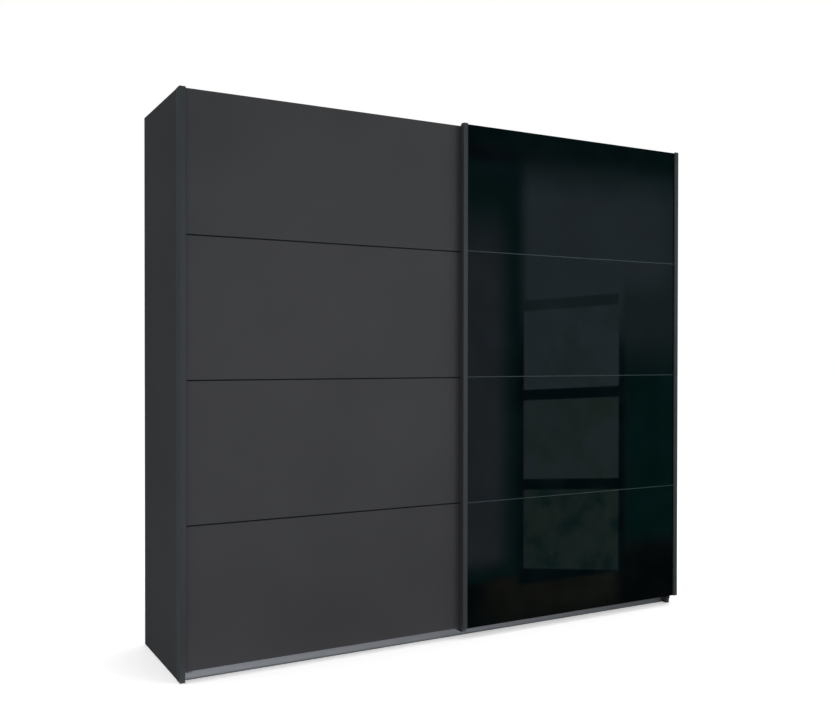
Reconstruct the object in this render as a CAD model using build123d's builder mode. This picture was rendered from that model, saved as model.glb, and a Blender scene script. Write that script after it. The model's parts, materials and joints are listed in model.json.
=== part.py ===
from build123d import *
import os

# Two-door sliding wardrobe.  Millimetres, +Z up, front towards -Y, +X to the viewer's right.
# The origin is on the floor, in the middle of the overall width and depth.
# Both doors hang in front of the carcass: the left door on the rear line, the right one in front.

# ------------------------------------------------------------------ overall sizes
carcass_width = 2250.0      # over the outside faces of the side panels
height = 2100.0             # floor to the top of the side panels
side_depth = 565.0          # side panel with its trim, front to back

# ------------------------------------------------------------------ boards
board = 16.0                # carcass boards
back_board = 3.0            # hardboard back
glide_height = 2.0
glide_radius = 7.0
plinth_height = 56.0        # floor to the underside of the bottom panel
plinth_setback = 34.0       # plinth face behind the side panels' front edge
panel_setback = 8.0         # top, bottom and partition behind the side panels' front edge
back_bottom = 40.0          # lower edge of the hardboard back
back_strip_flange = 1.0     # flange of the strip that joins the two halves of the back
back_strip_width = 24.0
back_strip_web = 1.0
back_rebate = 8.0           # width of the rebate in the side panels
fit = 0.1                   # gap between pieces that slip together

# ------------------------------------------------------------------ side trims
trim = 1.2                  # sheet thickness
trim_depth = 48.0           # outer flange
trim_lip = 6.0              # inner flange

# ------------------------------------------------------------------ doors
door_overhang = 5.0         # past the side panel's outside face
door_overlap = 24.0         # one door over the other when closed
door_bottom = 46.0          # floor to the doors' lower edge
door_board = 15.0           # left door's board, and right door's backing with its glass
glass = 4.0
strip_width = 3.0           # metal strip between two glass fields of the right door
groove_width = 5.0          # milled line between two fields of the left door
groove_depth = 5.0
fields = 4                  # fields in each door, one above the other
carcass_gap = 3.0           # side panels to the left door
door_gap = 4.0              # left door to right door
door_open_rest = 40.0       # an open door stops this far short of the other door's edge

# ------------------------------------------------------------------ upright grip profiles
profile_width = 20.0
profile_depth = 22.0
profile_wall = 2.0
profile_rise = 3.0          # profile above the door board
grip_radius = 1.9           # finger groove along the nose's inner edge
grip_offset = 0.6           # its centre outside that edge
chamber_wall = 1.5          # around the hollow in the nose
profile_round = 1.0
end_cap = 1.5

# ------------------------------------------------------------------ hangers and wheels
steel = 2.5                 # hanger and guide plates
hanger_width = 90.0
hanger_drop = 90.0
hanger_inset = 120.0        # hanger centre from the door's edge
hanger_bend = 1.0
hanger_screw_shares = (0.4, 0.8)    # down the hanger's leg
pocket_depth = 4.2          # in the door's back, for a plate and its screw heads
pocket_margin = 0.5
top_margin = 2.5            # right door's profiles below the side panels' top
arm_margin = 0.2            # right door's hanger below the top of its profiles
arm_clearance = 1.8         # right door's hanger over the left door's profiles
board_clearance = 0.5       # left door's hanger over its own board
wheel_radius = 10.0         # at the running face
wheel_flange = 2.0
wheel_width = 8.0
wheel_groove = 4.4
wheel_spacing = 60.0
wheel_gap = 0.3             # wheel to rail
wheel_side_gap = 1.5        # wheel to plate
wheel_top_gap = 2.5         # wheel to arm
axle_radius = 2.5
axle_fit = 0.05
axle_head_radius = 4.5
axle_head = 1.5
axle_rivet = 1.0            # riveted end past the axle's radius

# ------------------------------------------------------------------ top track
track_base = 2.0
track_setback = 4.0         # behind the top panel's front edge
track_margin = 15.0         # rail centre from the track's edge
rail_height = 7.0
rail_width = 3.0
rail_spacing = 30.0
stop_length = 20.0
stop_width = 18.0
stop_rise = 8.0
stop_gap = 1.0
track_screw_pitch = 420.0

# ------------------------------------------------------------------ bottom guide
guide_rail_height = 12.0
guide_rail_margin = 5.0     # groove centre from the rail's edge
guide_rail_gap = 0.5
guide_spacing = 14.0        # keeps the screw heads clear of the passing pins
guide_groove = 7.0
guide_groove_depth = 9.0
guide_pin_radius = 3.0
guide_pin_gap = 2.0         # pin's end to the groove's floor
guide_pin_rim = 1.0         # arm past the pin
guide_width = 16.0
guide_leg = 60.0
guide_drop_rear = 8.0       # arm below the left door
guide_drop_front = 13.0     # arm below the right door, which passes under the left one
guide_screw_shares = (0.35, 0.75)   # up the guide's leg
guide_outer_inset = 37.0
guide_inner_inset = 14.0

# ------------------------------------------------------------------ interior
hat_space = 324.7           # hat shelf to the top panel
low_shelf_level = 484.0     # underside of the low shelf
shelf_gap = 0.5
shelf_setback = 10.0
rail_drop = 55.0            # clothes rail's axis below the hat shelf
clothes_rail_height = 30.0
clothes_rail_width = 15.0
clothes_rail_wall = 1.2
socket_wall = 2.5
socket_length = 14.0
socket_flange = 3.0
shelf_pin_radius = 2.5
shelf_pin_depth = 7.0       # less than half the partition
shelf_pin_reach = 7.0
shelf_pin_inset = 60.0

# ------------------------------------------------------------------ fasteners
screw_radius = 2.0
screw_head_radius = 3.8
screw_head = 1.5
screw_length = 6.0
cam_radius = 7.5
cam_height = 12.0
cam_inset = 24.0            # cam centre from the panel's end
bolt_radius = 3.0
bolt_bite = 10.0
dowel_radius = 4.0
dowel_length = 22.0
dowel_offset = 32.0         # dowel beside its cam
joint_inset = 60.0          # cams from the panel's front and back edges
partition_screw_radius = 3.0
partition_screw_length = 45.0
nail_radius = 0.8
nail_head_radius = 2.5
nail_head = 1.0
nail_length = 14.0
nail_pitch = 260.0

# ------------------------------------------------------------------ wall brackets
bracket = 2.0
bracket_width = 40.0
bracket_height = 36.0
bracket_depth = 40.0
bracket_inset = 220.0       # bracket centre from the side panel's inside face
wall_hole_radius = 2.75
wall_hole_height = 22.0

# ------------------------------------------------------------------ worked-out places
overall_depth = side_depth + carcass_gap + 2 * profile_depth + door_gap
front_face = -overall_depth / 2
front_door_back = front_face + profile_depth
rear_door_front = front_door_back + door_gap
rear_door_back = rear_door_front + profile_depth
side_front = rear_door_back + carcass_gap
side_back = side_front + side_depth
side_outer = carcass_width / 2
side_inner = side_outer - board

door_span = carcass_width + 2 * door_overhang
door_width = (door_span + door_overlap) / 2
rear_door_x = (-door_span / 2, -door_span / 2 + door_width)
front_door_x = (door_span / 2 - door_width, door_span / 2)
travel = door_span - door_width - door_open_rest

# The left door is a little lower, so that the right door's hangers pass over it.
front_profile_top = height - top_margin
front_door_top = front_profile_top - profile_rise
front_arm_bottom = front_profile_top - arm_margin - steel
rear_profile_top = front_arm_bottom - arm_clearance
rear_door_top = rear_profile_top - profile_rise
rear_arm_bottom = rear_door_top + board_clearance
wheel_level = rear_arm_bottom - wheel_top_gap - wheel_radius - wheel_flange
rail_top = wheel_level - wheel_radius - wheel_gap
top_face = rail_top - rail_height - track_base

panel_front = side_front + panel_setback
back_face = side_back - nail_head
panel_back = back_face - back_board
partition_back = panel_back - back_strip_flange
bottom_face = plinth_height + board
ceiling = top_face - board
plinth_front_y = side_front + plinth_setback

track_front = panel_front + track_setback
rear_rail_y = track_front + track_margin
front_rail_y = rear_rail_y + rail_spacing
track_back = front_rail_y + track_margin

guide_front = panel_front + guide_rail_gap
rear_groove_y = guide_front + guide_rail_margin
front_groove_y = rear_groove_y + guide_spacing
guide_back = front_groove_y + guide_rail_margin
guide_bottom = plinth_height - guide_rail_height
guide_pin_top = guide_bottom + guide_groove_depth - guide_pin_gap

compartments = {
    "left": (-side_inner, -board / 2),
    "right": (board / 2, side_inner),
}
hat_shelf_level = ceiling - hat_space - board
rail_level = hat_shelf_level - rail_drop
rail_y = (panel_front + panel_back) / 2
guide_screw_levels = [door_bottom + share * guide_leg for share in guide_screw_shares]
hanger_screw_drops = [share * hanger_drop for share in hanger_screw_shares]

os.makedirs("parts", exist_ok=True)


# ------------------------------------------------------------------ helpers
def write(piece, label):
    """Label a finished piece and write it."""
    piece.part.label = label
    export_step(piece.part, f"parts/{label}.step")


def middle(pair):
    return (pair[0] + pair[1]) / 2


def block(x, y, z, mode=Mode.ADD):
    """A straight block between two limits each way, in the part being built."""
    with BuildSketch(Plane.XY.offset(z[0])) as outline:
        with Locations((middle(x), middle(y))):
            Rectangle(x[1] - x[0], y[1] - y[0])
    extrude(outline.sketch, amount=z[1] - z[0], mode=mode)


def ends(pair, inset):
    """Two places, one at each end of a stretch, the same distance in."""
    return (pair[0] + inset, pair[1] - inset)


def spread(low, high, pitch):
    """Evenly spaced places from low to high, about one pitch apart."""
    steps = max(1, round((high - low) / pitch))
    return [low + (high - low) * step / steps for step in range(steps + 1)]


def facing(points, direction):
    """A plane at each point, its normal along the direction given."""
    return [Plane(origin=point, z_dir=direction) for point in points]


def drill(planes, radius, depth):
    """Holes that go into the material from each plane, against its normal."""
    with Locations(*planes):
        Hole(radius, depth=depth)


def fasteners(planes, radius, length, head_radius, head):
    """A shank below each plane and a head above it."""
    below = (Align.CENTER, Align.CENTER, Align.MAX)
    above = (Align.CENTER, Align.CENTER, Align.MIN)
    with Locations(*planes):
        Cylinder(radius, length, align=below)
        Cylinder(head_radius, head, align=above)


# ------------------------------------------------------------------ where the fasteners go
def hanger_centres(door_x):
    return ends(door_x, hanger_inset)


def guide_centres(door_x):
    """The guide next to the side panel is set in, the one at the overlap is near the edge."""
    if door_x[0] < -door_width / 2:
        return (door_x[0] + guide_outer_inset, door_x[1] - guide_inner_inset)
    return (door_x[0] + guide_inner_inset, door_x[1] - guide_outer_inset)


def hanger_screws(door_x, door_back, door_top):
    """The screws that hold a door's hangers, on the back of their plates."""
    y = door_back - pocket_depth + steel
    xs = [c + side * hanger_width / 3 for c in hanger_centres(door_x) for side in (-1, 1)]
    points = [(x, y, door_top - drop) for x in xs for drop in hanger_screw_drops]
    return facing(points, (0, 1, 0))


def guide_screws(door_x, door_back):
    """The screws that hold a door's bottom guides, on the back of their plates."""
    y = door_back - pocket_depth + steel
    points = [(x, y, level) for x in guide_centres(door_x) for level in guide_screw_levels]
    return facing(points, (0, 1, 0))


track_screw_x = spread(-side_inner + joint_inset, side_inner - joint_inset, track_screw_pitch)
track_screw_points = [(x, (rear_rail_y + front_rail_y) / 2) for x in track_screw_x]
guide_screw_points = [(x, (rear_groove_y + front_groove_y) / 2) for x in track_screw_x]
joint_ys = ends((panel_front, panel_back), joint_inset)
dowel_ys = ends((panel_front, panel_back), joint_inset + dowel_offset)
bolt_level = {"top": middle((ceiling, top_face)), "bottom": middle((plinth_height, bottom_face))}
partition_screw_ys = ends((panel_front, partition_back), joint_inset)
bracket_centres = (-side_inner + bracket_inset, side_inner - bracket_inset)
nail_levels = spread(back_bottom + joint_inset, top_face - joint_inset, nail_pitch)


def side_nails(sign, y):
    """The nails through the back into one side panel."""
    return [(sign * (side_inner + back_rebate / 2), y, level) for level in nail_levels]


def row_nails(sign, level, y):
    """The nails through one half of the back into the top or bottom panel."""
    row = spread(back_strip_width + joint_inset, side_inner - joint_inset, nail_pitch)
    return [(sign * x, y, level) for x in row]


def shelf_pin_points(x, level):
    """The four pins under a shelf, on the faces at either side of its compartment."""
    ys = ends((panel_front + shelf_setback, panel_back), shelf_pin_inset)
    return [(face, y, level - shelf_pin_radius) for face in x for y in ys]


shelf_levels = {
    "left": [hat_shelf_level],
    "right": [hat_shelf_level, low_shelf_level],
}


# ------------------------------------------------------------------ carcass: side panels
def side_panel(sign):
    """One upright side, drilled for its shelves, cam bolts and dowels, rebated for the back."""
    outer = sign * side_outer
    inner = sign * side_inner
    inward = (-sign, 0, 0)
    name = "right" if sign > 0 else "left"
    with BuildPart() as panel:
        block(sorted((outer, inner)), (side_front + trim, side_back), (glide_height, height))
        rebate = sorted((inner, inner + sign * back_rebate))
        block(rebate, (panel_back, side_back + fit), (back_bottom - fit, top_face), Mode.SUBTRACT)
        pins = [p for level in shelf_levels[name] for p in shelf_pin_points((inner,), level)]
        drill(facing(pins, inward), shelf_pin_radius + axle_fit, shelf_pin_depth)
        bolts = [(inner, y, level) for level in bolt_level.values() for y in joint_ys]
        drill(facing(bolts, inward), bolt_radius + axle_fit, bolt_bite)
        dowels = [(inner, y, level) for level in bolt_level.values() for y in dowel_ys]
        drill(facing(dowels, inward), dowel_radius + axle_fit, dowel_length / 2)
        nails = facing(side_nails(sign, panel_back), (0, 1, 0))
        drill(nails, nail_radius + axle_fit, nail_length - back_board)
    write(panel, f"side_panel_{name}")


side_panel(-1)
side_panel(1)

for name, sign in (("left", -1), ("right", 1)):
    # A folded cover over the side panel's front edge, from the floor glide to the top.
    with BuildPart() as cover:
        with BuildSketch(Plane.XY.offset(glide_height)):
            with BuildLine():
                Polyline(
                    (sign * (side_inner - trim), side_front + trim_lip),
                    (sign * (side_inner - trim), side_front),
                    (sign * (side_outer + trim), side_front),
                    (sign * (side_outer + trim), side_front + trim_depth),
                    (sign * side_outer, side_front + trim_depth),
                    (sign * side_outer, side_front + trim),
                    (sign * side_inner, side_front + trim),
                    (sign * side_inner, side_front + trim_lip),
                    close=True,
                )
            make_face()
        extrude(amount=height - glide_height)
    write(cover, f"side_trim_{name}")


# ------------------------------------------------------------------ carcass: top and bottom
def lying_panel(level, cam_face, name):
    """The top or bottom panel between the sides; cam_face is +1 when the cams go in from above."""
    z = (level, level + board)
    face = z[1] if cam_face > 0 else z[0]
    with BuildPart() as panel:
        block((-side_inner, side_inner), (panel_front, panel_back), z)
        cams = [(s * (side_inner - cam_inset), y, face) for s in (-1, 1) for y in joint_ys]
        drill(facing(cams, (0, 0, cam_face)), cam_radius + fit, cam_height + fit)
        bolts = [(s * side_inner, y, middle(z)) for s in (-1, 1) for y in joint_ys]
        for plane in facing(bolts[:2], (-1, 0, 0)) + facing(bolts[2:], (1, 0, 0)):
            drill([plane], bolt_radius + axle_fit, cam_inset)
        dowels = [(s * side_inner, y, middle(z)) for s in (-1, 1) for y in dowel_ys]
        for plane in facing(dowels[:2], (-1, 0, 0)) + facing(dowels[2:], (1, 0, 0)):
            drill([plane], dowel_radius + axle_fit, dowel_length / 2)
        screws = [(0, y, face) for y in partition_screw_ys]
        drill(facing(screws, (0, 0, cam_face)), partition_screw_radius + axle_fit, board)
        if cam_face > 0:
            points = [(x, y, face) for x, y in track_screw_points]
        else:
            points = [(x, y, face) for x, y in guide_screw_points]
        drill(facing(points, (0, 0, cam_face)), screw_radius + axle_fit, board / 2 + fit)
        if cam_face > 0:
            points = [(x, panel_back - bracket_depth / 2, face) for x in bracket_centres]
            drill(facing(points, (0, 0, 1)), screw_radius + axle_fit, board / 2 + fit)
        nails = [p for sign in (-1, 1) for p in row_nails(sign, middle(z), panel_back)]
        drill(facing(nails, (0, 1, 0)), nail_radius + axle_fit, nail_length - back_board)
    write(panel, name)


lying_panel(ceiling, 1, "top_panel")
lying_panel(plinth_height, -1, "bottom_panel")

with BuildPart() as centre_partition:
    block((-board / 2, board / 2), (panel_front, partition_back), (bottom_face, ceiling))
    for name, direction in (("left", (-1, 0, 0)), ("right", (1, 0, 0))):
        face = direction[0] * board / 2
        for level in shelf_levels[name]:
            points = shelf_pin_points((face,), level)
            drill(facing(points, direction), shelf_pin_radius + axle_fit, shelf_pin_depth)
    bite = partition_screw_length - board + fit
    above = [(0, y, ceiling) for y in partition_screw_ys]
    below = [(0, y, bottom_face) for y in partition_screw_ys]
    drill(facing(above, (0, 0, 1)), partition_screw_radius + axle_fit, bite)
    drill(facing(below, (0, 0, -1)), partition_screw_radius + axle_fit, bite)
write(centre_partition, "centre_partition")

# ------------------------------------------------------------------ carcass: plinth
plinth_z = (0, plinth_height)
plinth_rear_y = (panel_back - board, panel_back)

with BuildPart() as plinth_front:
    block((-side_inner, side_inner), (plinth_front_y, plinth_front_y + board), plinth_z)
write(plinth_front, "plinth_front")

with BuildPart() as plinth_rear:
    block((-side_inner, side_inner), plinth_rear_y, plinth_z)
write(plinth_rear, "plinth_rear")

with BuildPart() as plinth_middle:
    block((-board / 2, board / 2), (plinth_front_y + board, plinth_rear_y[0]), plinth_z)
write(plinth_middle, "plinth_middle")

with BuildPart() as floor_glides:
    side_ys = ends((side_front, side_back), joint_inset)
    spots = [(s * (side_outer - board / 2), y) for s in (-1, 1) for y in side_ys]
    with BuildSketch():
        with Locations(*spots):
            Circle(glide_radius)
    extrude(amount=glide_height)
write(floor_glides, "floor_glides")

# ------------------------------------------------------------------ carcass: back
back_edge = side_inner + back_rebate - fit
for name, x in (
    ("left", (-back_edge, -back_strip_web / 2 - fit)),
    ("right", (back_strip_web / 2 + fit, back_edge)),
):
    sign = -1 if name == "left" else 1
    with BuildPart() as back:
        block(x, (panel_back, back_face), (back_bottom, top_face - fit))
        nails = side_nails(sign, back_face)
        nails += [p for level in bolt_level.values() for p in row_nails(sign, level, back_face)]
        drill(facing(nails, (0, 1, 0)), nail_radius + axle_fit, back_board)
    write(back, f"back_panel_{name}")

with BuildPart() as back_joint_strip:
    strip_z = (back_bottom, top_face - fit)
    half = back_strip_width / 2
    block((-half, half), (partition_back, panel_back), (bottom_face, ceiling))
    block((-half, half), (back_face, back_face + back_strip_flange), strip_z)
    block((-back_strip_web / 2, back_strip_web / 2), (panel_back, back_face), strip_z)
write(back_joint_strip, "back_joint_strip")

with BuildPart() as back_nails:
    nails = [p for sign in (-1, 1) for p in side_nails(sign, back_face)]
    for level in bolt_level.values():
        nails += [p for sign in (-1, 1) for p in row_nails(sign, level, back_face)]
    fasteners(facing(nails, (0, 1, 0)), nail_radius, nail_length, nail_head_radius, nail_head)
write(back_nails, "back_nails")

# ------------------------------------------------------------------ carcass: joining hardware
with BuildPart() as cam_locks:
    for z, direction in ((top_face, 1), (plinth_height, -1)):
        start = z if direction < 0 else z - cam_height
        with BuildSketch(Plane.XY.offset(start)):
            with Locations(*[(s * (side_inner - cam_inset), y) for s in (-1, 1) for y in joint_ys]):
                Circle(cam_radius)
        extrude(amount=cam_height)
    # The slot that takes the head of the cam bolt.
    for level in bolt_level.values():
        for s in (-1, 1):
            x = sorted((s * (side_inner - cam_inset), s * side_inner))
            for y in joint_ys:
                half = bolt_radius + fit
                block(x, (y - half, y + half), (level - half, level + half), Mode.SUBTRACT)
write(cam_locks, "cam_locks")

with BuildPart() as cam_bolts:
    for s in (-1, 1):
        start = min(s * (side_inner - cam_inset + fit), s * (side_inner + bolt_bite - fit))
        with BuildSketch(Plane.YZ.offset(start)):
            with Locations(*[(y, level) for y in joint_ys for level in bolt_level.values()]):
                Circle(bolt_radius)
        extrude(amount=cam_inset + bolt_bite - 2 * fit)
write(cam_bolts, "cam_bolts")

with BuildPart() as dowels:
    for s in (-1, 1):
        with BuildSketch(Plane.YZ.offset(s * side_inner)):
            with Locations(*[(y, level) for y in dowel_ys for level in bolt_level.values()]):
                Circle(dowel_radius)
        extrude(amount=dowel_length / 2 - fit, both=True)
write(dowels, "dowels")

# ------------------------------------------------------------------ interior
def shelf(name, level, label):
    x = (compartments[name][0] + shelf_gap, compartments[name][1] - shelf_gap)
    with BuildPart() as plank:
        y = (panel_front + shelf_setback, partition_back - back_strip_flange)
        block(x, y, (level, level + board))
    write(plank, label)


shelf("left", hat_shelf_level, "hat_shelf_left")
shelf("right", hat_shelf_level, "hat_shelf_right")
shelf("right", low_shelf_level, "low_shelf_right")

with BuildPart() as shelf_pins:
    for name, levels in shelf_levels.items():
        for level in levels:
            for face, sign in zip(compartments[name], (1, -1)):
                start = face - sign * (shelf_pin_depth - fit)
                length = shelf_pin_depth + shelf_pin_reach - fit
                points = [(y, z) for _, y, z in shelf_pin_points((face,), level)]
                with BuildSketch(Plane.YZ.offset(min(start, start + sign * length))):
                    with Locations(*points):
                        Circle(shelf_pin_radius)
                extrude(amount=length)
write(shelf_pins, "shelf_pins")


with BuildPart() as clothes_rails:
    inner_height = clothes_rail_height - 2 * clothes_rail_wall
    inner_width = clothes_rail_width - 2 * clothes_rail_wall
    for x in compartments.values():
        with BuildSketch(Plane.YZ.offset(x[0] + socket_flange)):
            with Locations((rail_y, rail_level)):
                SlotOverall(clothes_rail_height, clothes_rail_width, rotation=90)
                SlotOverall(inner_height, inner_width, rotation=90, mode=Mode.SUBTRACT)
        extrude(amount=x[1] - x[0] - 2 * socket_flange)
write(clothes_rails, "clothes_rails")

with BuildPart() as rail_sockets:
    cup_height = clothes_rail_height + 2 * (socket_wall + fit)
    cup_width = clothes_rail_width + 2 * (socket_wall + fit)
    for x in compartments.values():
        for face, sign in zip(x, (1, -1)):
            depth = socket_flange + socket_length
            with BuildSketch(Plane.YZ.offset(min(face, face + sign * depth))):
                with Locations((rail_y, rail_level)):
                    SlotOverall(cup_height, cup_width, rotation=90)
            extrude(amount=depth)
            inside = face + sign * socket_flange
            with BuildSketch(Plane.YZ.offset(min(inside, inside + sign * socket_length))):
                with Locations((rail_y, rail_level)):
                    inner = clothes_rail_height + 2 * fit
                    SlotOverall(inner, clothes_rail_width + 2 * fit, rotation=90)
            extrude(amount=socket_length, mode=Mode.SUBTRACT)
write(rail_sockets, "rail_sockets")

# ------------------------------------------------------------------ top track
track_half = side_inner - shelf_gap
with BuildPart() as top_track:
    block((-track_half, track_half), (track_front, track_back), (top_face, top_face + track_base))
    for y in (rear_rail_y, front_rail_y):
        base = top_face + track_base
        with BuildSketch(Plane.YZ.offset(-track_half)):
            with BuildLine():
                crest = rail_top - rail_width / 2
                Line((y - rail_width / 2, base), (y - rail_width / 2, crest))
                ThreePointArc(
                    (y - rail_width / 2, crest), (y, rail_top), (y + rail_width / 2, crest)
                )
                Line((y + rail_width / 2, crest), (y + rail_width / 2, base))
                Line((y + rail_width / 2, base), (y - rail_width / 2, base))
            make_face()
        extrude(amount=2 * track_half)
    holes = [(x, y, top_face + track_base) for x, y in track_screw_points]
    drill(facing(holes, (0, 0, 1)), screw_radius + axle_fit, track_base)
write(top_track, "top_track")

# A door at either end of its travel stops just short of these blocks.
hanger_half = hanger_width / 2
rear_reach = (
    rear_door_x[0] + hanger_inset - hanger_half,
    rear_door_x[1] - hanger_inset + hanger_half + travel,
)
with BuildPart() as track_stops:
    for y, reach in ((rear_rail_y, rear_reach), (front_rail_y, (-rear_reach[1], -rear_reach[0]))):
        for end, outward in zip(reach, (-1, 1)):
            near = end + outward * stop_gap
            x = sorted((near, near + outward * stop_length))
            z = (top_face + track_base, rail_top + stop_rise)
            block(x, (y - stop_width / 2, y + stop_width / 2), z)
            slot = rail_width / 2 + fit
            slot_z = (top_face + track_base, rail_top + fit)
            block(x, (y - slot, y + slot), slot_z, Mode.SUBTRACT)
write(track_stops, "track_stops")

# ------------------------------------------------------------------ bottom guide rail
with BuildPart() as bottom_guide_rail:
    block((-track_half, track_half), (guide_front, guide_back), (guide_bottom, plinth_height))
    for y in (rear_groove_y, front_groove_y):
        groove_y = (y - guide_groove / 2, y + guide_groove / 2)
        groove_z = (guide_bottom, guide_bottom + guide_groove_depth)
        block((-track_half, track_half), groove_y, groove_z, Mode.SUBTRACT)
    holes = [(x, y, guide_bottom) for x, y in guide_screw_points]
    drill(facing(holes, (0, 0, -1)), screw_radius + axle_fit, guide_rail_height)
write(bottom_guide_rail, "bottom_guide_rail")

# ------------------------------------------------------------------ wall brackets
with BuildPart() as wall_brackets:
    for x in bracket_centres:
        span = (x - bracket_width / 2, x + bracket_width / 2)
        block(span, (panel_back - bracket_depth, side_back), (top_face, top_face + bracket))
        block(span, (side_back - bracket, side_back), (top_face, top_face + bracket_height))
        wall_hole = (x, side_back, top_face + wall_hole_height)
        drill(facing([wall_hole], (0, 1, 0)), wall_hole_radius, bracket)
        screw_hole = (x, panel_back - bracket_depth / 2, top_face + bracket)
        drill(facing([screw_hole], (0, 0, 1)), screw_radius + axle_fit, bracket)
write(wall_brackets, "wall_brackets")

# ------------------------------------------------------------------ carcass screws
with BuildPart() as carcass_screws:
    # The partition is held from above and below by long headless screws.
    for low in (ceiling + board - partition_screw_length, plinth_height):
        with BuildSketch(Plane.XY.offset(low)):
            with Locations(*[(0, y) for y in partition_screw_ys]):
                Circle(partition_screw_radius)
        extrude(amount=partition_screw_length)
    up, down = (0, 0, 1), (0, 0, -1)
    track_heads = facing([(x, y, top_face + track_base) for x, y in track_screw_points], up)
    guide_heads = facing([(x, y, guide_bottom) for x, y in guide_screw_points], down)
    bracket_y = panel_back - bracket_depth / 2
    bracket_heads = facing([(x, bracket_y, top_face + bracket) for x in bracket_centres], up)
    for heads, sheet in (
        (track_heads, track_base),
        (guide_heads, guide_rail_height),
        (bracket_heads, bracket),
    ):
        length = board / 2 + sheet
        fasteners(heads, screw_radius, length, screw_head_radius, screw_head)
write(carcass_screws, "carcass_screws")


# ------------------------------------------------------------------ doors: boards and glass
def cut_pockets(door_x, door_back, door_top):
    """Pockets in a door's back for the hangers and the guides, with their screw holes."""
    y = (door_back - pocket_depth, door_back + fit)
    for centre in hanger_centres(door_x):
        half = hanger_half + pocket_margin
        z = (door_top - hanger_drop - pocket_margin, door_top + fit)
        block((centre - half, centre + half), y, z, Mode.SUBTRACT)
    for centre in guide_centres(door_x):
        half = guide_width / 2 + pocket_margin
        z = (door_bottom - fit, door_bottom + guide_leg + pocket_margin)
        block((centre - half, centre + half), y, z, Mode.SUBTRACT)
    depth = steel + screw_length + fit
    screws = hanger_screws(door_x, door_back, door_top) + guide_screws(door_x, door_back)
    drill(screws, screw_radius + axle_fit, depth)


def board_limits(door_x):
    return (door_x[0] + profile_wall + fit, door_x[1] - profile_wall - fit)


def joint_levels(door_top):
    """The heights of the lines between a door's fields."""
    pitch = (door_top - door_bottom) / fields
    return [door_bottom + pitch * number for number in range(1, fields)]


with BuildPart() as rear_door_panel:
    face = rear_door_back - door_board
    block(board_limits(rear_door_x), (face, rear_door_back), (door_bottom, rear_door_top))
    for level in joint_levels(rear_door_top):
        groove_z = (level - groove_width / 2, level + groove_width / 2)
        groove_y = (face - fit, face + groove_depth)
        block(board_limits(rear_door_x), groove_y, groove_z, Mode.SUBTRACT)
    cut_pockets(rear_door_x, rear_door_back, rear_door_top)
write(rear_door_panel, "rear_door_panel")

glass_y = (front_door_back - door_board, front_door_back - door_board + glass)
with BuildPart() as front_door_backing:
    y = (glass_y[1], front_door_back)
    block(board_limits(front_door_x), y, (door_bottom, front_door_top))
    cut_pockets(front_door_x, front_door_back, front_door_top)
write(front_door_backing, "front_door_backing")

edges = [door_bottom] + joint_levels(front_door_top) + [front_door_top]
for number in range(fields):
    with BuildPart() as pane:
        low = edges[number] + (strip_width / 2 if number > 0 else 0)
        high = edges[number + 1] - (strip_width / 2 if number < fields - 1 else 0)
        block(board_limits(front_door_x), glass_y, (low, high))
    write(pane, f"front_door_pane_{number + 1}")

with BuildPart() as front_door_joint_strips:
    for level in joint_levels(front_door_top):
        z = (level - strip_width / 2, level + strip_width / 2)
        block(board_limits(front_door_x), glass_y, z)
write(front_door_joint_strips, "front_door_joint_strips")


# ------------------------------------------------------------------ doors: grip profiles
def grip_outline(edge, inward, back, hollow):
    """A grip profile's section: a wall along the door's edge and a nose in front of its face."""
    nose_back = back - door_board - fit
    with BuildSketch(Plane.XY) as section:
        with BuildLine():
            Polyline(
                (edge, back),
                (edge + inward * profile_wall, back),
                (edge + inward * profile_wall, nose_back),
                (edge + inward * profile_width, nose_back),
                (edge + inward * profile_width, back - profile_depth),
                (edge, back - profile_depth),
                close=True,
            )
        make_face()
        fillet(section.vertices().group_by(Axis.Y)[0], radius=profile_round)
        if hollow:
            deep = nose_back - (back - profile_depth)
            chamber = deep - 2 * chamber_wall
            width = profile_width - profile_wall - 2 * grip_radius
            with Locations((edge + inward * (profile_wall + width / 2), nose_back - deep / 2)):
                Rectangle(width, chamber, mode=Mode.SUBTRACT)
            with Locations((edge + inward * (profile_width + grip_offset), nose_back - deep / 2)):
                Circle(grip_radius, mode=Mode.SUBTRACT)
    return section.sketch


def grip_profile(edge, inward, back, profile_top, label):
    low = door_bottom + end_cap
    with BuildPart() as grip:
        outline = Plane.XY.offset(low) * grip_outline(edge, inward, back, True)
        extrude(outline, amount=profile_top - end_cap - low)
    write(grip, label)


def end_caps(door_x, back, profile_top, label):
    with BuildPart() as caps:
        for edge, inward in zip(door_x, (1, -1)):
            for low in (door_bottom, profile_top - end_cap):
                outline = Plane.XY.offset(low) * grip_outline(edge, inward, back, False)
                extrude(outline, amount=end_cap)
    write(caps, label)


# ------------------------------------------------------------------ doors: hangers and guides
def bent_plate(points, x, width):
    """A strip of sheet that follows straight runs in the YZ plane, with rounded bends."""
    with BuildSketch(Plane.YZ.offset(x - width / 2)) as section:
        with BuildLine():
            FilletPolyline(*points, radius=steel / 2 + hanger_bend)
        trace(line_width=steel)
    extrude(section.sketch, amount=width)


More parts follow.
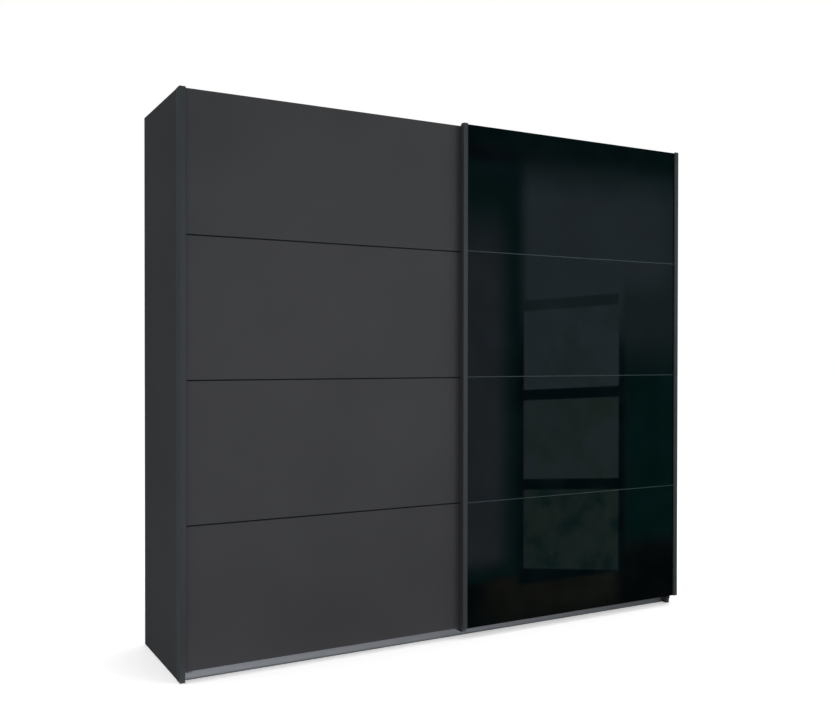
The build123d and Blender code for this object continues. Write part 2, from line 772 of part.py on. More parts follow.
def hangers(door_x, door_back, door_top, rail_y_centre, arm_bottom, label):
    """Steel hangers: down into the door's back, over the top panel, down beside the wheels."""
    leg_y = door_back - pocket_depth + steel / 2
    wheel_plate_y = rail_y_centre - wheel_width / 2 - wheel_side_gap - steel / 2
    arm_z = arm_bottom + steel / 2
    with BuildPart() as plates:
        for centre in hanger_centres(door_x):
            points = (
                (leg_y, door_top - hanger_drop),
                (leg_y, arm_z),
                (wheel_plate_y, arm_z),
                (wheel_plate_y, rail_top - stop_gap),
            )
            bent_plate(points, centre, hanger_width)
        screws = hanger_screws(door_x, door_back, door_top)
        drill(screws, screw_radius + axle_fit, steel)
        axles = [(x, wheel_plate_y + steel / 2, wheel_level) for x in wheel_places(door_x)]
        drill(facing(axles, (0, 1, 0)), axle_radius + axle_fit, steel)
    write(plates, label)


def wheel_places(door_x):
    """The wheels' centres along the door."""
    half = wheel_spacing / 2
    return [centre + side * half for centre in hanger_centres(door_x) for side in (-1, 1)]


def axles(door_x, rail_y_centre, label):
    """Headed pins through the hanger and the wheel."""
    front = rail_y_centre - wheel_width / 2 - wheel_side_gap - steel
    back = rail_y_centre + wheel_width / 2 + wheel_gap
    with BuildPart() as pins:
        with BuildSketch(Plane.XZ.offset(-back - axle_head)):
            with Locations(*[(x, wheel_level) for x in wheel_places(door_x)]):
                Circle(axle_head_radius)
        extrude(amount=axle_head)
        with BuildSketch(Plane.XZ.offset(-back)):
            with Locations(*[(x, wheel_level) for x in wheel_places(door_x)]):
                Circle(axle_radius)
        extrude(amount=back - front)
        with BuildSketch(Plane.XZ.offset(-front)):
            with Locations(*[(x, wheel_level) for x in wheel_places(door_x)]):
                Circle(axle_radius + axle_rivet)
        extrude(amount=axle_head / 2)
    write(pins, label)


def wheel(x, rail_y_centre, label):
    """A grooved wheel that turns on its axle and rides on the crest of the rail."""
    outer = wheel_radius + wheel_flange
    half = wheel_width / 2
    groove = wheel_groove / 2
    bore = axle_radius + axle_fit
    with BuildPart() as roller:
        with BuildSketch(Plane.YZ.offset(x)):
            with BuildLine():
                Polyline(
                    (rail_y_centre - half, wheel_level + bore),
                    (rail_y_centre - half, wheel_level + outer),
                    (rail_y_centre - groove - wheel_flange / 2, wheel_level + outer),
                    (rail_y_centre - groove, wheel_level + wheel_radius),
                    (rail_y_centre + groove, wheel_level + wheel_radius),
                    (rail_y_centre + groove + wheel_flange / 2, wheel_level + outer),
                    (rail_y_centre + half, wheel_level + outer),
                    (rail_y_centre + half, wheel_level + bore),
                    close=True,
                )
            make_face()
        revolve(axis=Axis((x, rail_y_centre, wheel_level), (0, 1, 0)), revolution_arc=360)
    write(roller, label)


def guides(door_x, door_back, groove_y, drop, label):
    """Steel angles under the door that carry the guide pins."""
    leg_y = door_back - pocket_depth + steel / 2
    arm_z = door_bottom - drop - steel / 2
    with BuildPart() as angles:
        for centre in guide_centres(door_x):
            points = (
                (leg_y, door_bottom + guide_leg),
                (leg_y, arm_z),
                (groove_y + guide_pin_radius + guide_pin_rim, arm_z),
            )
            bent_plate(points, centre, guide_width)
        drill(guide_screws(door_x, door_back), screw_radius + axle_fit, steel)
    write(angles, label)


def guide_pins(door_x, groove_y, drop, label):
    low = door_bottom - drop
    with BuildPart() as pins:
        with BuildSketch(Plane.XY.offset(low)):
            with Locations(*[(x, groove_y) for x in guide_centres(door_x)]):
                Circle(guide_pin_radius)
        extrude(amount=guide_pin_top - low)
    write(pins, label)


def door_screws(door_x, door_back, door_top, label):
    planes = hanger_screws(door_x, door_back, door_top) + guide_screws(door_x, door_back)
    with BuildPart() as screws:
        fasteners(planes, screw_radius, screw_length + steel, screw_head_radius, screw_head)
    write(screws, label)


rear_hanging = (rear_rail_y, rear_arm_bottom, rear_groove_y, guide_drop_rear)
front_hanging = (front_rail_y, front_arm_bottom, front_groove_y, guide_drop_front)
for name, door_x, back, top, hanging in (
    ("rear", rear_door_x, rear_door_back, rear_door_top, rear_hanging),
    ("front", front_door_x, front_door_back, front_door_top, front_hanging),
):
    rail, arm, groove, drop = hanging
    profile_top = top + profile_rise
    grip_profile(door_x[0], 1, back, profile_top, f"{name}_door_profile_left")
    grip_profile(door_x[1], -1, back, profile_top, f"{name}_door_profile_right")
    end_caps(door_x, back, profile_top, f"{name}_door_end_caps")
    hangers(door_x, back, top, rail, arm, f"{name}_door_hangers")
    axles(door_x, rail, f"{name}_door_axles")
    for number, x in enumerate(wheel_places(door_x), start=1):
        wheel(x, rail, f"{name}_door_wheel_{number}")
    guides(door_x, back, groove, drop, f"{name}_door_guides")
    guide_pins(door_x, groove, drop, f"{name}_door_guide_pins")
    door_screws(door_x, back, top, f"{name}_door_screws")
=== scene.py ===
import json
import math

import bpy
from mathutils import Euler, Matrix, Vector


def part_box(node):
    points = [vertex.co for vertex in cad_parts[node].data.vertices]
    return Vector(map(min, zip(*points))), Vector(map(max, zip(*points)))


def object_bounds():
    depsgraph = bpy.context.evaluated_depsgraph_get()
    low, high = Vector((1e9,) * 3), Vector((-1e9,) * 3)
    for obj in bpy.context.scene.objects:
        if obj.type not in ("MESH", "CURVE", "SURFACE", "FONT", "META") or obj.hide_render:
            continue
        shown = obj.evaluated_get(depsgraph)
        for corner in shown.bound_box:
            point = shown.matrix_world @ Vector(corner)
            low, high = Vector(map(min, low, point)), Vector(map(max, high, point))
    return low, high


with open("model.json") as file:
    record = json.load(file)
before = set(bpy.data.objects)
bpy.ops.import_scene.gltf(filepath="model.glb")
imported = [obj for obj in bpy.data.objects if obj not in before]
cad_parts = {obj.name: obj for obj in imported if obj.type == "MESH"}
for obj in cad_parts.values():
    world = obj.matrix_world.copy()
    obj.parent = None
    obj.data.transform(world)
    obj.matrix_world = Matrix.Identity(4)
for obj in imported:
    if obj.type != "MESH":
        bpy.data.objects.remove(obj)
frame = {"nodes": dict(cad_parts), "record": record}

cad_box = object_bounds()

# Two-door sliding wardrobe in graphite: a grooved board door on the left, a black glass door on
# the right.  Metres, +Z up, front towards -Y.

NODES = frame["nodes"]


def box_of(node):
    """Lowest and highest corner of a CAD node, as vectors."""
    low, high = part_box(node)
    return Vector(low), Vector(high)


# ------------------------------------------------------------------ camera
IMAGE_WIDTH = 835
FOCAL_PIXELS = 993.3
SENSOR_MM = 36.0
CAMERA_PLACE = (-1.994, -3.801, 1.157)
CAMERA_TURN = math.radians(31.25)      # to the right of straight ahead
CAMERA_DIP = math.radians(0.51)
CAMERA_ROLL = math.radians(-0.10)
CAMERA_SHIFT = (-0.090, 0.006)         # the wardrobe sits left of the optical axis


def add_camera():
    data = bpy.data.cameras.new("camera")
    data.sensor_width = SENSOR_MM
    data.lens = FOCAL_PIXELS / IMAGE_WIDTH * SENSOR_MM
    data.shift_x, data.shift_y = CAMERA_SHIFT
    data.clip_end = 200
    camera = bpy.data.objects.new("camera", data)
    camera.location = CAMERA_PLACE
    camera.rotation_euler = Euler((math.pi / 2 - CAMERA_DIP, CAMERA_ROLL, -CAMERA_TURN))
    bpy.context.scene.collection.objects.link(camera)
    bpy.context.scene.camera = camera


# ------------------------------------------------------------------ node helpers
class Shader:
    """A small wrapper that adds nodes to one material or world."""

    def __init__(self, owner):
        owner.use_nodes = True
        self.tree = owner.node_tree
        self.tree.nodes.clear()

    def add(self, kind, **settings):
        node = self.tree.nodes.new(kind)
        for name, value in settings.items():
            if hasattr(node, name):
                setattr(node, name, value)
            else:
                node.inputs[name.replace("_", " ")].default_value = value
        return node

    def link(self, source, target):
        self.tree.links.new(source, target)

    def noise(self, scale, detail=4.0, stretch=(1, 1, 1), roughness=0.5):
        """Noise in the object's own metres, stretched along an axis where asked."""
        place = self.add("ShaderNodeTexCoord")
        mapping = self.add("ShaderNodeMapping")
        mapping.inputs["Scale"].default_value = stretch
        noise = self.add("ShaderNodeTexNoise")
        noise.inputs["Scale"].default_value = scale
        noise.inputs["Detail"].default_value = detail
        noise.inputs["Roughness"].default_value = roughness
        self.link(place.outputs["Object"], mapping.inputs["Vector"])
        self.link(mapping.outputs["Vector"], noise.inputs["Vector"])
        return noise.outputs["Fac"]

    def ramp(self, value, stops):
        ramp = self.add("ShaderNodeValToRGB")
        ramp.color_ramp.elements[0].position = stops[0][0]
        ramp.color_ramp.elements[0].color = (*stops[0][1], 1)
        ramp.color_ramp.elements[1].position = stops[-1][0]
        ramp.color_ramp.elements[1].color = (*stops[-1][1], 1)
        for position, colour in stops[1:-1]:
            ramp.color_ramp.elements.new(position).color = (*colour, 1)
        self.link(value, ramp.inputs["Fac"])
        return ramp.outputs["Color"]

    def span(self, value, low, high):
        """Stretches a noise value (about 0.3 to 0.7) over a range."""
        node = self.add("ShaderNodeMapRange")
        node.inputs["From Min"].default_value = 0.3
        node.inputs["From Max"].default_value = 0.7
        node.inputs["To Min"].default_value = low
        node.inputs["To Max"].default_value = high
        self.link(value, node.inputs["Value"])
        return node.outputs["Result"]

    def bump(self, value, height, strength=1.0):
        node = self.add("ShaderNodeBump")
        node.inputs["Strength"].default_value = strength
        node.inputs["Distance"].default_value = height
        self.link(value, node.inputs["Height"])
        return node.outputs["Normal"]

    def painted_shade_between(self, colour, near, far, share=0.22):
        """Painted shade: the colour times share where Y lies between two depths, standing in for the shade
        inside a milled groove.
        """
        place = self.add("ShaderNodeTexCoord")
        axes = self.add("ShaderNodeSeparateXYZ")
        past = self.add("ShaderNodeMath", operation="GREATER_THAN")
        short = self.add("ShaderNodeMath", operation="LESS_THAN")
        inside = self.add("ShaderNodeMath", operation="MULTIPLY")
        dim = self.add("ShaderNodeMix", data_type="RGBA", blend_type="MULTIPLY")
        self.link(place.outputs["Object"], axes.inputs["Vector"])
        self.link(axes.outputs["Y"], past.inputs[0])
        self.link(axes.outputs["Y"], short.inputs[0])
        past.inputs[1].default_value = near
        short.inputs[1].default_value = far
        self.link(past.outputs["Value"], inside.inputs[0])
        self.link(short.outputs["Value"], inside.inputs[1])
        self.link(inside.outputs["Value"], dim.inputs["Factor"])
        self.link(colour, dim.inputs["A"])
        dim.inputs["B"].default_value = (share, share, share, 1)
        return dim.outputs["Result"]

    def background(self, colour, strength):
        """An even surround."""
        node = self.add("ShaderNodeBackground")
        node.inputs["Color"].default_value = (*colour, 1)
        node.inputs["Strength"].default_value = strength
        return node.outputs["Background"]

    def principled(self, **values):
        """The surface shader, with its uniform values set on its own sockets."""
        shader = self.add("ShaderNodeBsdfPrincipled")
        for name, value in values.items():
            shader.inputs[name.replace("_", " ")].default_value = value
        output = self.add("ShaderNodeOutputMaterial")
        self.link(shader.outputs["BSDF"], output.inputs["Surface"])
        return shader


def shade(colour, factor):
    """A darker or lighter version of a colour."""
    return tuple(channel * factor for channel in colour)


# ------------------------------------------------------------------ materials of the wardrobe
def laminate(name, colour, roughness, grain=0.00002, shaded_depths=None):
    """Printed melamine on board: a fine pearl texture with faint, wide clouds of tone.

    The last argument gives the depths, along Y, between which the board is darkened with painted shade, as
    inside its milled grooves.
    """
    material = bpy.data.materials.new(name)
    nodes = Shader(material)
    shader = nodes.principled(Specular_IOR_Level=0.35)
    clouds = nodes.noise(2.2, detail=3)
    speckle = nodes.noise(900, detail=2)
    tone = nodes.ramp(clouds, [(0.35, shade(colour, 0.94)), (0.65, shade(colour, 1.06))])
    grain_tone = nodes.ramp(speckle, [(0.3, (0.90,) * 3), (0.7, (1.10,) * 3)])
    mix = nodes.add("ShaderNodeMix", data_type="RGBA", blend_type="MULTIPLY")
    mix.inputs["Factor"].default_value = 1.0
    nodes.link(tone, mix.inputs["A"])
    nodes.link(grain_tone, mix.inputs["B"])
    surface = mix.outputs["Result"]
    # painted shade: the board is darkened between the given depths, inside its grooves
    if shaded_depths is not None:
        surface = nodes.painted_shade_between(surface, *shaded_depths)
    nodes.link(surface, shader.inputs["Base Color"])
    nodes.link(nodes.span(speckle, roughness - 0.05, roughness + 0.05), shader.inputs["Roughness"])
    nodes.link(nodes.bump(speckle, grain), shader.inputs["Normal"])
    return material


def extrusion(name, colour, roughness, metallic=0.85, along="z"):
    """Anodised aluminium with faint drawing lines along its length."""
    material = bpy.data.materials.new(name)
    nodes = Shader(material)
    shader = nodes.principled(Metallic=metallic, Specular_IOR_Level=0.5)
    stretch = {"z": (1, 1, 0.01), "x": (0.01, 1, 1)}[along]
    lines = nodes.noise(1400, detail=3, stretch=stretch)
    patches = nodes.noise(5, detail=2)
    nodes.link(
        nodes.ramp(lines, [(0.3, shade(colour, 0.90)), (0.7, shade(colour, 1.10))]),
        shader.inputs["Base Color"],
    )
    nodes.link(nodes.span(patches, roughness - 0.03, roughness + 0.05), shader.inputs["Roughness"])
    nodes.link(nodes.bump(lines, 0.000008), shader.inputs["Normal"])
    return material


def foil(name, colour):
    """Board faced with brushed metal foil, its brush lines running along the plinth."""
    material = bpy.data.materials.new(name)
    nodes = Shader(material)
    shader = nodes.principled(Metallic=0.8, Specular_IOR_Level=0.4)
    lines = nodes.noise(700, detail=4, stretch=(0.02, 1, 1))
    nodes.link(
        nodes.ramp(lines, [(0.3, shade(colour, 0.82)), (0.7, shade(colour, 1.16))]),
        shader.inputs["Base Color"],
    )
    nodes.link(nodes.span(lines, 0.30, 0.42), shader.inputs["Roughness"])
    nodes.link(nodes.bump(lines, 0.00001), shader.inputs["Normal"])
    return material


def black_glass(name):
    """Back-painted float glass: deep black-green, mirror smooth, with a hint of waviness."""
    material = bpy.data.materials.new(name)
    nodes = Shader(material)
    shader = nodes.principled(IOR=1.52, Specular_IOR_Level=0.5)
    smears = nodes.noise(9, detail=5)
    waves = nodes.noise(3.0, detail=1)
    nodes.link(
        nodes.ramp(smears, [(0.35, (0.0005, 0.0009, 0.0012)), (0.7, (0.0012, 0.0020, 0.0024))]),
        shader.inputs["Base Color"],
    )
    nodes.link(nodes.span(smears, 0.025, 0.05), shader.inputs["Roughness"])
    nodes.link(nodes.bump(waves, 0.0004, strength=0.3), shader.inputs["Normal"])
    return material


def moulded(name, colour, roughness):
    """Moulded plastic or rubber with a fine eroded texture."""
    material = bpy.data.materials.new(name)
    nodes = Shader(material)
    shader = nodes.principled(Specular_IOR_Level=0.4)
    texture = nodes.noise(1800, detail=2)
    nodes.link(
        nodes.ramp(texture, [(0.3, shade(colour, 0.88)), (0.7, shade(colour, 1.12))]),
        shader.inputs["Base Color"],
    )
    nodes.link(nodes.span(texture, roughness - 0.06, roughness + 0.06), shader.inputs["Roughness"])
    nodes.link(nodes.bump(texture, 0.00003), shader.inputs["Normal"])
    return material


def plated(name, colour, roughness):
    """Zinc-plated or polished steel with cloudy plating."""
    material = bpy.data.materials.new(name)
    nodes = Shader(material)
    shader = nodes.principled(Metallic=1.0)
    clouds = nodes.noise(60, detail=4)
    nodes.link(
        nodes.ramp(clouds, [(0.3, shade(colour, 0.86)), (0.7, shade(colour, 1.10))]),
        shader.inputs["Base Color"],
    )
    nodes.link(nodes.span(clouds, roughness - 0.04, roughness + 0.06), shader.inputs["Roughness"])
    nodes.link(nodes.bump(clouds, 0.00002), shader.inputs["Normal"])
    return material


def fibrous(name, colour, stretch, roughness):
    """Hardboard or beech: fibres stretched along one axis."""
    material = bpy.data.materials.new(name)
    nodes = Shader(material)
    shader = nodes.principled(Specular_IOR_Level=0.3)
    fibres = nodes.noise(260, detail=5, stretch=stretch)
    nodes.link(
        nodes.ramp(fibres, [(0.3, shade(colour, 0.82)), (0.7, shade(colour, 1.14))]),
        shader.inputs["Base Color"],
    )
    nodes.link(nodes.span(fibres, roughness - 0.05, roughness + 0.05), shader.inputs["Roughness"])
    nodes.link(nodes.bump(fibres, 0.00004), shader.inputs["Normal"])
    return material


DOOR_FACE, DOOR_BACK = (corner.y for corner in box_of("rear_door_panel"))
DOOR_SKIN = 0.0005            # outer layer of the door that the painted groove shade leaves alone
# depths of the door board that are darkened with painted groove shade
DOOR_GROOVE_SHADE = (DOOR_FACE + DOOR_SKIN, DOOR_BACK - DOOR_SKIN)
MATERIALS = {
    "graphite_board": laminate("graphite_board", (0.028, 0.027, 0.0265), 0.55),
    "door_board": laminate("door_board", (0.0305, 0.0298, 0.0325), 0.55, shaded_depths=DOOR_GROOVE_SHADE),
    "carcass_board": laminate("carcass_board", (0.12, 0.12, 0.122), 0.55),
    "plinth_board": foil("plinth_board", (0.34, 0.35, 0.37)),
    "dark_aluminium": extrusion("dark_aluminium", (0.037, 0.041, 0.044), 0.42, metallic=0.3),
    "joint_aluminium": extrusion("joint_aluminium", (0.11, 0.135, 0.14), 0.35, along="x"),
    "track_aluminium": extrusion("track_aluminium", (0.62, 0.62, 0.63), 0.33, along="x"),
    "black_glass": black_glass("black_glass"),
    "hardboard": fibrous("hardboard", (0.14, 0.14, 0.14), (1, 1, 0.08), 0.6),
    "dark_plastic": moulded("dark_plastic", (0.035, 0.035, 0.037), 0.5),
    "white_nylon": moulded("white_nylon", (0.58, 0.58, 0.54), 0.4),
    "stop_rubber": moulded("stop_rubber", (0.025, 0.025, 0.025), 0.75),
    "chrome_tube": plated("chrome_tube", (0.78, 0.78, 0.79), 0.10),
    "beech": fibrous("beech", (0.50, 0.33, 0.18), (0.06, 1, 1), 0.6),
    "cast_zinc": plated("cast_zinc", (0.46, 0.46, 0.47), 0.45),
    "zinc_steel": plated("zinc_steel", (0.24, 0.245, 0.25), 0.42),
}


def dress_nodes():
    """Every CAD node gets the material of its slot in the record."""
    for row in frame["record"]["subparts"]:
        node = NODES[row["node"]]
        node.data.materials.clear()
        node.data.materials.append(MATERIALS[row["material_slot"]])


# ------------------------------------------------------------------ softened edges
BOARD_EDGE = 0.0008
METAL_EDGE = 0.0004
GLASS_EDGE = 0.0006
EDGES = {
    "graphite_board": BOARD_EDGE,
    "door_board": BOARD_EDGE,
    "carcass_board": BOARD_EDGE,
    "plinth_board": BOARD_EDGE,
    "dark_aluminium": METAL_EDGE,
    "black_glass": GLASS_EDGE,
}


def soften_edges():
    for row in frame["record"]["subparts"]:
        width = EDGES.get(row["material_slot"])
        if width is None:
            continue
        bevel = NODES[row["node"]].modifiers.new("edge", "BEVEL")
        bevel.width = width
        bevel.segments = 2
        bevel.limit_method = "ANGLE"
        bevel.angle_limit = math.radians(50)
        bevel.use_clamp_overlap = True


# ------------------------------------------------------------------ studio
def plane(name, corners):
    """A flat four-sided piece of the stage."""
    mesh = bpy.data.meshes.new(name)
    mesh.from_pydata([Vector(corner) for corner in corners], [], [(0, 1, 2, 3)])
    piece = bpy.data.objects.new(name, mesh)
    bpy.context.scene.collection.objects.link(piece)
    return piece


FLOOR_GLOW = 0.35                      # the floor shines a little, like a light table


def add_floor():
    size = 40.0
    floor = plane("floor", [(-size, -size, 0), (size, -size, 0), (size, size, 0), (-size, size, 0)])
    material = bpy.data.materials.new("pale_floor")
    nodes = Shader(material)
    shader = nodes.principled(
        Roughness=0.9,
        Specular_IOR_Level=0.1,
        Emission_Color=(1, 1, 1, 1),
        Emission_Strength=FLOOR_GLOW,
    )
    soft = nodes.noise(1.5, detail=3)
    nodes.link(
        nodes.ramp(soft, [(0.3, (0.93, 0.93, 0.93)), (0.7, (0.96, 0.96, 0.96))]),
        shader.inputs["Base Color"],
    )
    floor.data.materials.append(material)
    floor.visible_glossy = False


def soft_edges(nodes, low, high, fades):
    """One inside a card and falling to nothing towards its edges: left, right, bottom, top."""
    place = nodes.add("ShaderNodeTexCoord")
    axes = nodes.add("ShaderNodeSeparateXYZ")
    nodes.link(place.outputs["Object"], axes.inputs["Vector"])
    sides = (("X", low[0], 1), ("X", high[0], -1), ("Z", low[1], 1), ("Z", high[1], -1))
    result = None
    for (axis, edge, inward), width in zip(sides, fades):
        if not width:
            continue
        step = nodes.add("ShaderNodeMapRange", interpolation_type="SMOOTHSTEP")
        step.inputs["From Min"].default_value = edge
        step.inputs["From Max"].default_value = edge + inward * width
        nodes.link(axes.outputs[axis], step.inputs["Value"])
        if result is None:
            result = step.outputs["Result"]
            continue
        both = nodes.add("ShaderNodeMath", operation="MULTIPLY")
        nodes.link(result, both.inputs[0])
        nodes.link(step.outputs["Result"], both.inputs[1])
        result = both.outputs["Value"]
    return result


def glow(name, stops, scale, soft=None):
    """A dimly shining surface, mottled between colours; soft is a card's limits and its fades."""
    material = bpy.data.materials.new(name)
    nodes = Shader(material)
    emission = nodes.add("ShaderNodeEmission")
    mottle = nodes.noise(scale, detail=5, roughness=0.6)
    nodes.link(nodes.ramp(mottle, stops), emission.inputs["Color"])
    output = nodes.add("ShaderNodeOutputMaterial")
    if soft is None:
        nodes.link(emission.outputs["Emission"], output.inputs["Surface"])
        return material
    low, high, fades = soft
    clear = nodes.add("ShaderNodeBsdfTransparent")
    mix = nodes.add("ShaderNodeMixShader")
    nodes.link(soft_edges(nodes, low, high, fades), mix.inputs["Fac"])
    nodes.link(clear.outputs["BSDF"], mix.inputs[1])
    nodes.link(emission.outputs["Emission"], mix.inputs[2])
    nodes.link(mix.outputs["Shader"], output.inputs["Surface"])
    return material


def painted_reflection_only(piece):
    """A painted reflection: seen in the glass and in polished metal, but casting neither light nor shadow and
    hidden from the camera.
    """
    piece.visible_camera = False
    piece.visible_diffuse = False
    piece.visible_shadow = False
    piece.visible_transmission = False
    piece.visible_volume_scatter = False


STRIP_HALF = 3.0              # half the strip's length
STRIP_REACH = 0.20            # how far it runs out from the plinth
STRIP_GAP = 0.01
STRIP_LIFT = 0.0015           # above the floor


def add_painted_plinth_reflection():
    """A painted reflection: a glowing card just above the floor under the doors, seen only in reflections,
    that the brushed plinth mirrors as a strip bright at its left end and fading to dim at its right.
    """
    low, high = box_of("plinth_front")
    front = low.y
    far, near = front - STRIP_REACH, front - STRIP_GAP
    strip = [(-STRIP_HALF, far), (STRIP_HALF, far), (STRIP_HALF, near), (-STRIP_HALF, near)]
    piece = plane("painted_plinth_reflection_card", [(x, y, STRIP_LIFT) for x, y in strip])
    material = bpy.data.materials.new("painted_plinth_reflection_card")
    nodes = Shader(material)
    place = nodes.add("ShaderNodeTexCoord")
    axes = nodes.add("ShaderNodeSeparateXYZ")
    along = nodes.add("ShaderNodeMapRange")
    along.inputs["From Min"].default_value = low.x
    along.inputs["From Max"].default_value = high.x
    emission = nodes.add("ShaderNodeEmission")
    output = nodes.add("ShaderNodeOutputMaterial")
    nodes.link(place.outputs["Object"], axes.inputs["Vector"])
    nodes.link(axes.outputs["X"], along.inputs["Value"])
    # painted light falloff in the plinth's reflection: bright at the left end, dim at the right
    bright, dim = (0.72, 0.73, 0.77), (0.07, 0.07, 0.08)
    fade = nodes.ramp(along.outputs["Result"], [(0.0, bright), (1.0, dim)])
    nodes.link(fade, emission.inputs["Color"])
    nodes.link(emission.outputs["Emission"], output.inputs["Surface"])
    piece.data.materials.append(material)
    painted_reflection_only(piece)


ROOM_Y = -1.10                # how far in front the glowing cards of the painted room reflection stand
CARD_STEP = 0.0004            # each card stands this much nearer than the one before


class PaintedRoomReflection:
    """Painted reflection: the dim room that the black glass mirrors, built as glowing cards one in front of
    another that only reflections see.
    """

    def __init__(self):
        self.depth = ROOM_Y

    def card(self, name, corners, stops, scale=3.0):
        """A hard-edged card; corners are (x, z), counted round."""
        self.depth += CARD_STEP
        piece = plane(name, [(x, self.depth, z) for x, z in corners])
        piece.data.materials.append(glow(name, stops, scale))
        painted_reflection_only(piece)

    def haze(self, name, low, high, fades, stops, scale=1.5):
        """A soft-edged card between two corners; fades run left, right, bottom, top."""
        self.depth += CARD_STEP
        corners = (low, (high[0], low[1]), high, (low[0], high[1]))
        piece = plane(name, [(x, self.depth, z) for x, z in corners])
        piece.data.materials.append(glow(name, stops, scale, (low, high, fades)))
        painted_reflection_only(piece)


def flat(colour):
    """Two stops that hardly differ."""
    return [(0.35, shade(colour, 0.9)), (0.65, shade(colour, 1.1))]


# The painted reflection of a window: panes one above another, parted by bars, in a dark frame.
WINDOW_LEFT, WINDOW_RIGHT = 0.80, 1.42
WINDOW_SILL = 0.06
WINDOW_FRAME = 0.07
WINDOW_DROP = 0.10            # frame below the sill
FULL_PANES = 3
TOP_PANE = 0.35               # height of the pane that fades
PANE_PITCH = 0.46
BAR = 0.055
EYE_LEVEL = 0.84              # the window's rows run level here
RIGHT_SPREAD = 1.10           # its right edge stands nearer, so its rows spread from eye level
CEILING = 2.10
FLOOR_LINE = 0.04
ROOM_HALF = 5.0               # half the room's width
ROOM_LOW, ROOM_HIGH = -1, 4   # the cards' lowest and highest level


def window_row(level):
    """A level of the window at its left and at its right edge."""
    return level, EYE_LEVEL + (level - EYE_LEVEL) * RIGHT_SPREAD


def add_window(room):
    """Painted reflection of three full panes with the garden behind, a bar, and a pane that fades upwards."""
    sky = (0.27, 0.37, 0.43)
    leaf = (0.18, 0.29, 0.24)
    shadow = (0.04, 0.16, 0.14)
    frame_low = (WINDOW_LEFT - WINDOW_FRAME, WINDOW_SILL - WINDOW_DROP)
    frame_high = (WINDOW_RIGHT + WINDOW_FRAME, WINDOW_SILL + FULL_PANES * PANE_PITCH)
    room.haze("room_frame", frame_low, frame_high, (0.06, 0.05, 0.03, 0.45), flat((0.006, 0.035, 0.040)))
    views = (
        ([(0.34, shadow), (0.46, (0.13, 0.24, 0.20)), (0.62, leaf)], 7.0),
        ([(0.38, leaf), (0.50, (0.21, 0.31, 0.30)), (0.60, (0.24, 0.34, 0.39))], 4.0),
        ([(0.36, (0.21, 0.31, 0.31)), (0.52, sky)], 5.0),
    )
    for row, (stops, scale) in enumerate(views):
        low = WINDOW_SILL + row * PANE_PITCH
        add_row(room, f"room_pane_{row + 1}", low, low + PANE_PITCH - BAR, stops, scale)
    top = WINDOW_SILL + FULL_PANES * PANE_PITCH
    upper = [(0.40, (0.24, 0.34, 0.37)), (0.7, sky)]
    corner = (WINDOW_RIGHT, top + TOP_PANE)
    room.haze("room_pane_top", (WINDOW_LEFT, top), corner, (0.03, 0.08, 0.02, 0.25), upper)
    add_row(room, "room_bar", top - BAR, top, flat((0.12, 0.20, 0.22)), 3.0)


def add_row(room, name, low, high, stops, scale):
    """One pane or bar of the window, across its full width."""
    low_left, low_right = window_row(low)
    high_left, high_right = window_row(high)
    corners = [
        (WINDOW_LEFT, low_left),
        (WINDOW_RIGHT, low_right),
        (WINDOW_RIGHT, high_right),
        (WINDOW_LEFT, high_left),
    ]
    room.card(name, corners, stops, scale)


def add_painted_room_reflection():
    # painted reflection: a dim room of glowing cards, seen only in the glass
    room = PaintedRoomReflection()
    wide, low, high = ROOM_HALF, ROOM_LOW, ROOM_HIGH
    left, right = WINDOW_LEFT, WINDOW_RIGHT
    wall = [(-wide, low), (wide, low), (wide, high), (-wide, high)]
    room.card("room_wall", wall, flat((0.02, 0.095, 0.095)))
    room.haze("room_ceiling", (-wide, CEILING), (wide, high), (0, 0, 0.1, 0), flat((0.010, 0.062, 0.060)))
    beam_high = (right - 0.35, CEILING + 0.15)
    room.haze("room_beam", (-wide, CEILING), beam_high, (0, 0.6, 0.07, 0.07), flat((0.02, 0.03, 0.05)))
    glow_high = (right + 0.70, CEILING + 0.15)
    fades = (0.10, 0.5, 0.45, 0.30)
    room.haze("room_glow", (left - 0.05, 1.05), glow_high, fades, flat((0.25, 0.34, 0.39)), 1.2)
    wall_high = (left - 0.05, CEILING - 0.10)
    fades = (0, 0.14, 0.12, 0.42)
    room.haze("room_left_wall", (-wide, FLOOR_LINE), wall_high, fades, flat((0.23, 0.28, 0.33)), 3.0)
    room.haze("room_right_wall", (right, 0.95), (wide, 1.65), (0.06, 0, 0.55, 0.25), flat((0.12, 0.20, 0.20)))
    cupboard = flat((0.002, 0.10, 0.085))
    room.haze("room_cupboard", (right + 0.05, 0.1), (wide, 1.10), (0.03, 0, 0.08, 0.12), cupboard)
    room.haze("room_dark_corner", (right, low), (wide, 0.20), (0.05, 0, 0, 0.14), flat((0.02, 0.026, 0.024)))
    room.haze("room_boards", (-wide, low), (wide, FLOOR_LINE), (0, 0, 0, 0.05), flat((0.008, 0.013, 0.008)))
    rug = [(0.35, (0.07, 0.075, 0.05)), (0.65, (0.13, 0.125, 0.09))]
    rug_low, rug_high = (left - 0.30, -0.30), (right + 0.05, FLOOR_LINE)
    room.haze("room_rug", rug_low, rug_high, (0.18, 0.12, 0.22, 0.03), rug, 4.0)
    add_window(room)


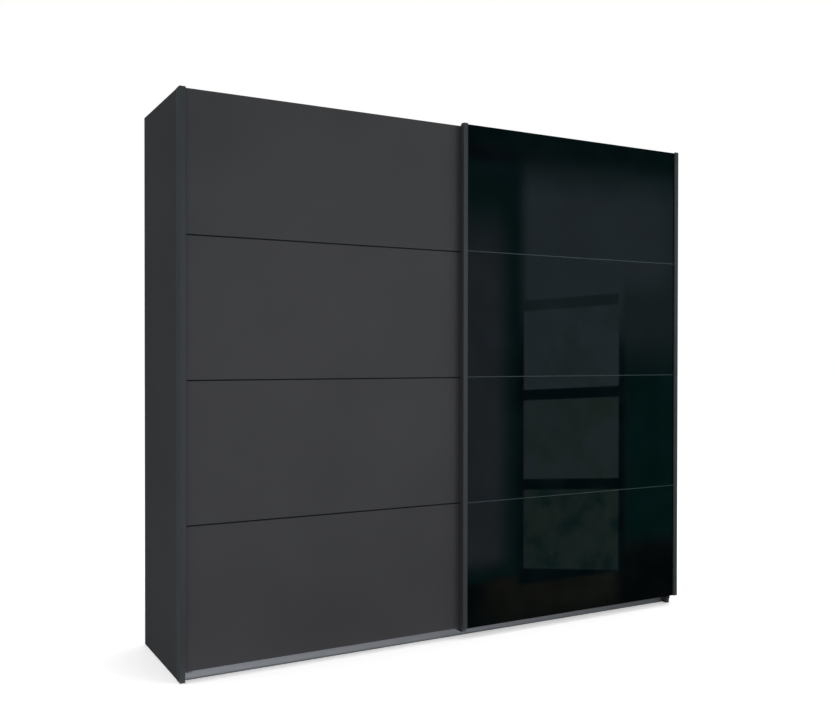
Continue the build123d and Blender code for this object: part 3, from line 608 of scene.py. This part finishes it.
def area_light(name, place, target, size, power):
    """A square white light of the given width, aimed at a point and not mirrored in the glass."""
    data = bpy.data.lights.new(name, "AREA")
    data.shape = "RECTANGLE"
    data.size = data.size_y = size
    data.energy = power
    light = bpy.data.objects.new(name, data)
    light.location = place
    light.rotation_euler = (Vector(target) - Vector(place)).to_track_quat("-Z", "Y").to_euler()
    light.visible_glossy = False
    light.visible_camera = False
    bpy.context.scene.collection.objects.link(light)


SEEN_STRENGTH = 1.0           # the surround as the camera sees it
LIT_STRENGTH = 0.80           # as it lights the wardrobe
MIRRORED_STRENGTH = 0.16      # as it shows in glass and metal


def add_studio():
    """A white surround that lights softly, a large front light and a weak one from the left."""
    world = bpy.data.worlds.new("studio")
    bpy.context.scene.world = world
    nodes = Shader(world)
    path = nodes.add("ShaderNodeLightPath")
    seen = nodes.background((1, 1, 1), SEEN_STRENGTH)
    lit = nodes.background((1, 1, 1), LIT_STRENGTH)
    mirrored = nodes.background((0.80, 0.90, 1.0), MIRRORED_STRENGTH)
    unseen = nodes.add("ShaderNodeMixShader")
    both = nodes.add("ShaderNodeMixShader")
    output = nodes.add("ShaderNodeOutputWorld")
    nodes.link(path.outputs["Is Glossy Ray"], unseen.inputs["Fac"])
    nodes.link(lit, unseen.inputs[1])
    nodes.link(mirrored, unseen.inputs[2])
    nodes.link(path.outputs["Is Camera Ray"], both.inputs["Fac"])
    nodes.link(unseen.outputs["Shader"], both.inputs[1])
    nodes.link(seen, both.inputs[2])
    nodes.link(both.outputs["Shader"], output.inputs["Surface"])
    low, high = (Vector(corner) for corner in cad_box)
    middle = (low + high) / 2
    area_light("key", (3.2, -5.5, 2.6), middle, 3.0, 150)
    area_light("left_fill", (-6.0, -1.0, 2.6), middle, 3.0, 30)
    area_light("overhead", (0, -0.5, 5.5), middle, 5.0, 60)
    bpy.context.scene.view_settings.view_transform = "Standard"


# ------------------------------------------------------------------ put it together
dress_nodes()
soften_edges()
add_floor()
# painted reflection in the brushed plinth
add_painted_plinth_reflection()
# painted reflection of a room in the black glass
add_painted_room_reflection()
add_studio()
add_camera()
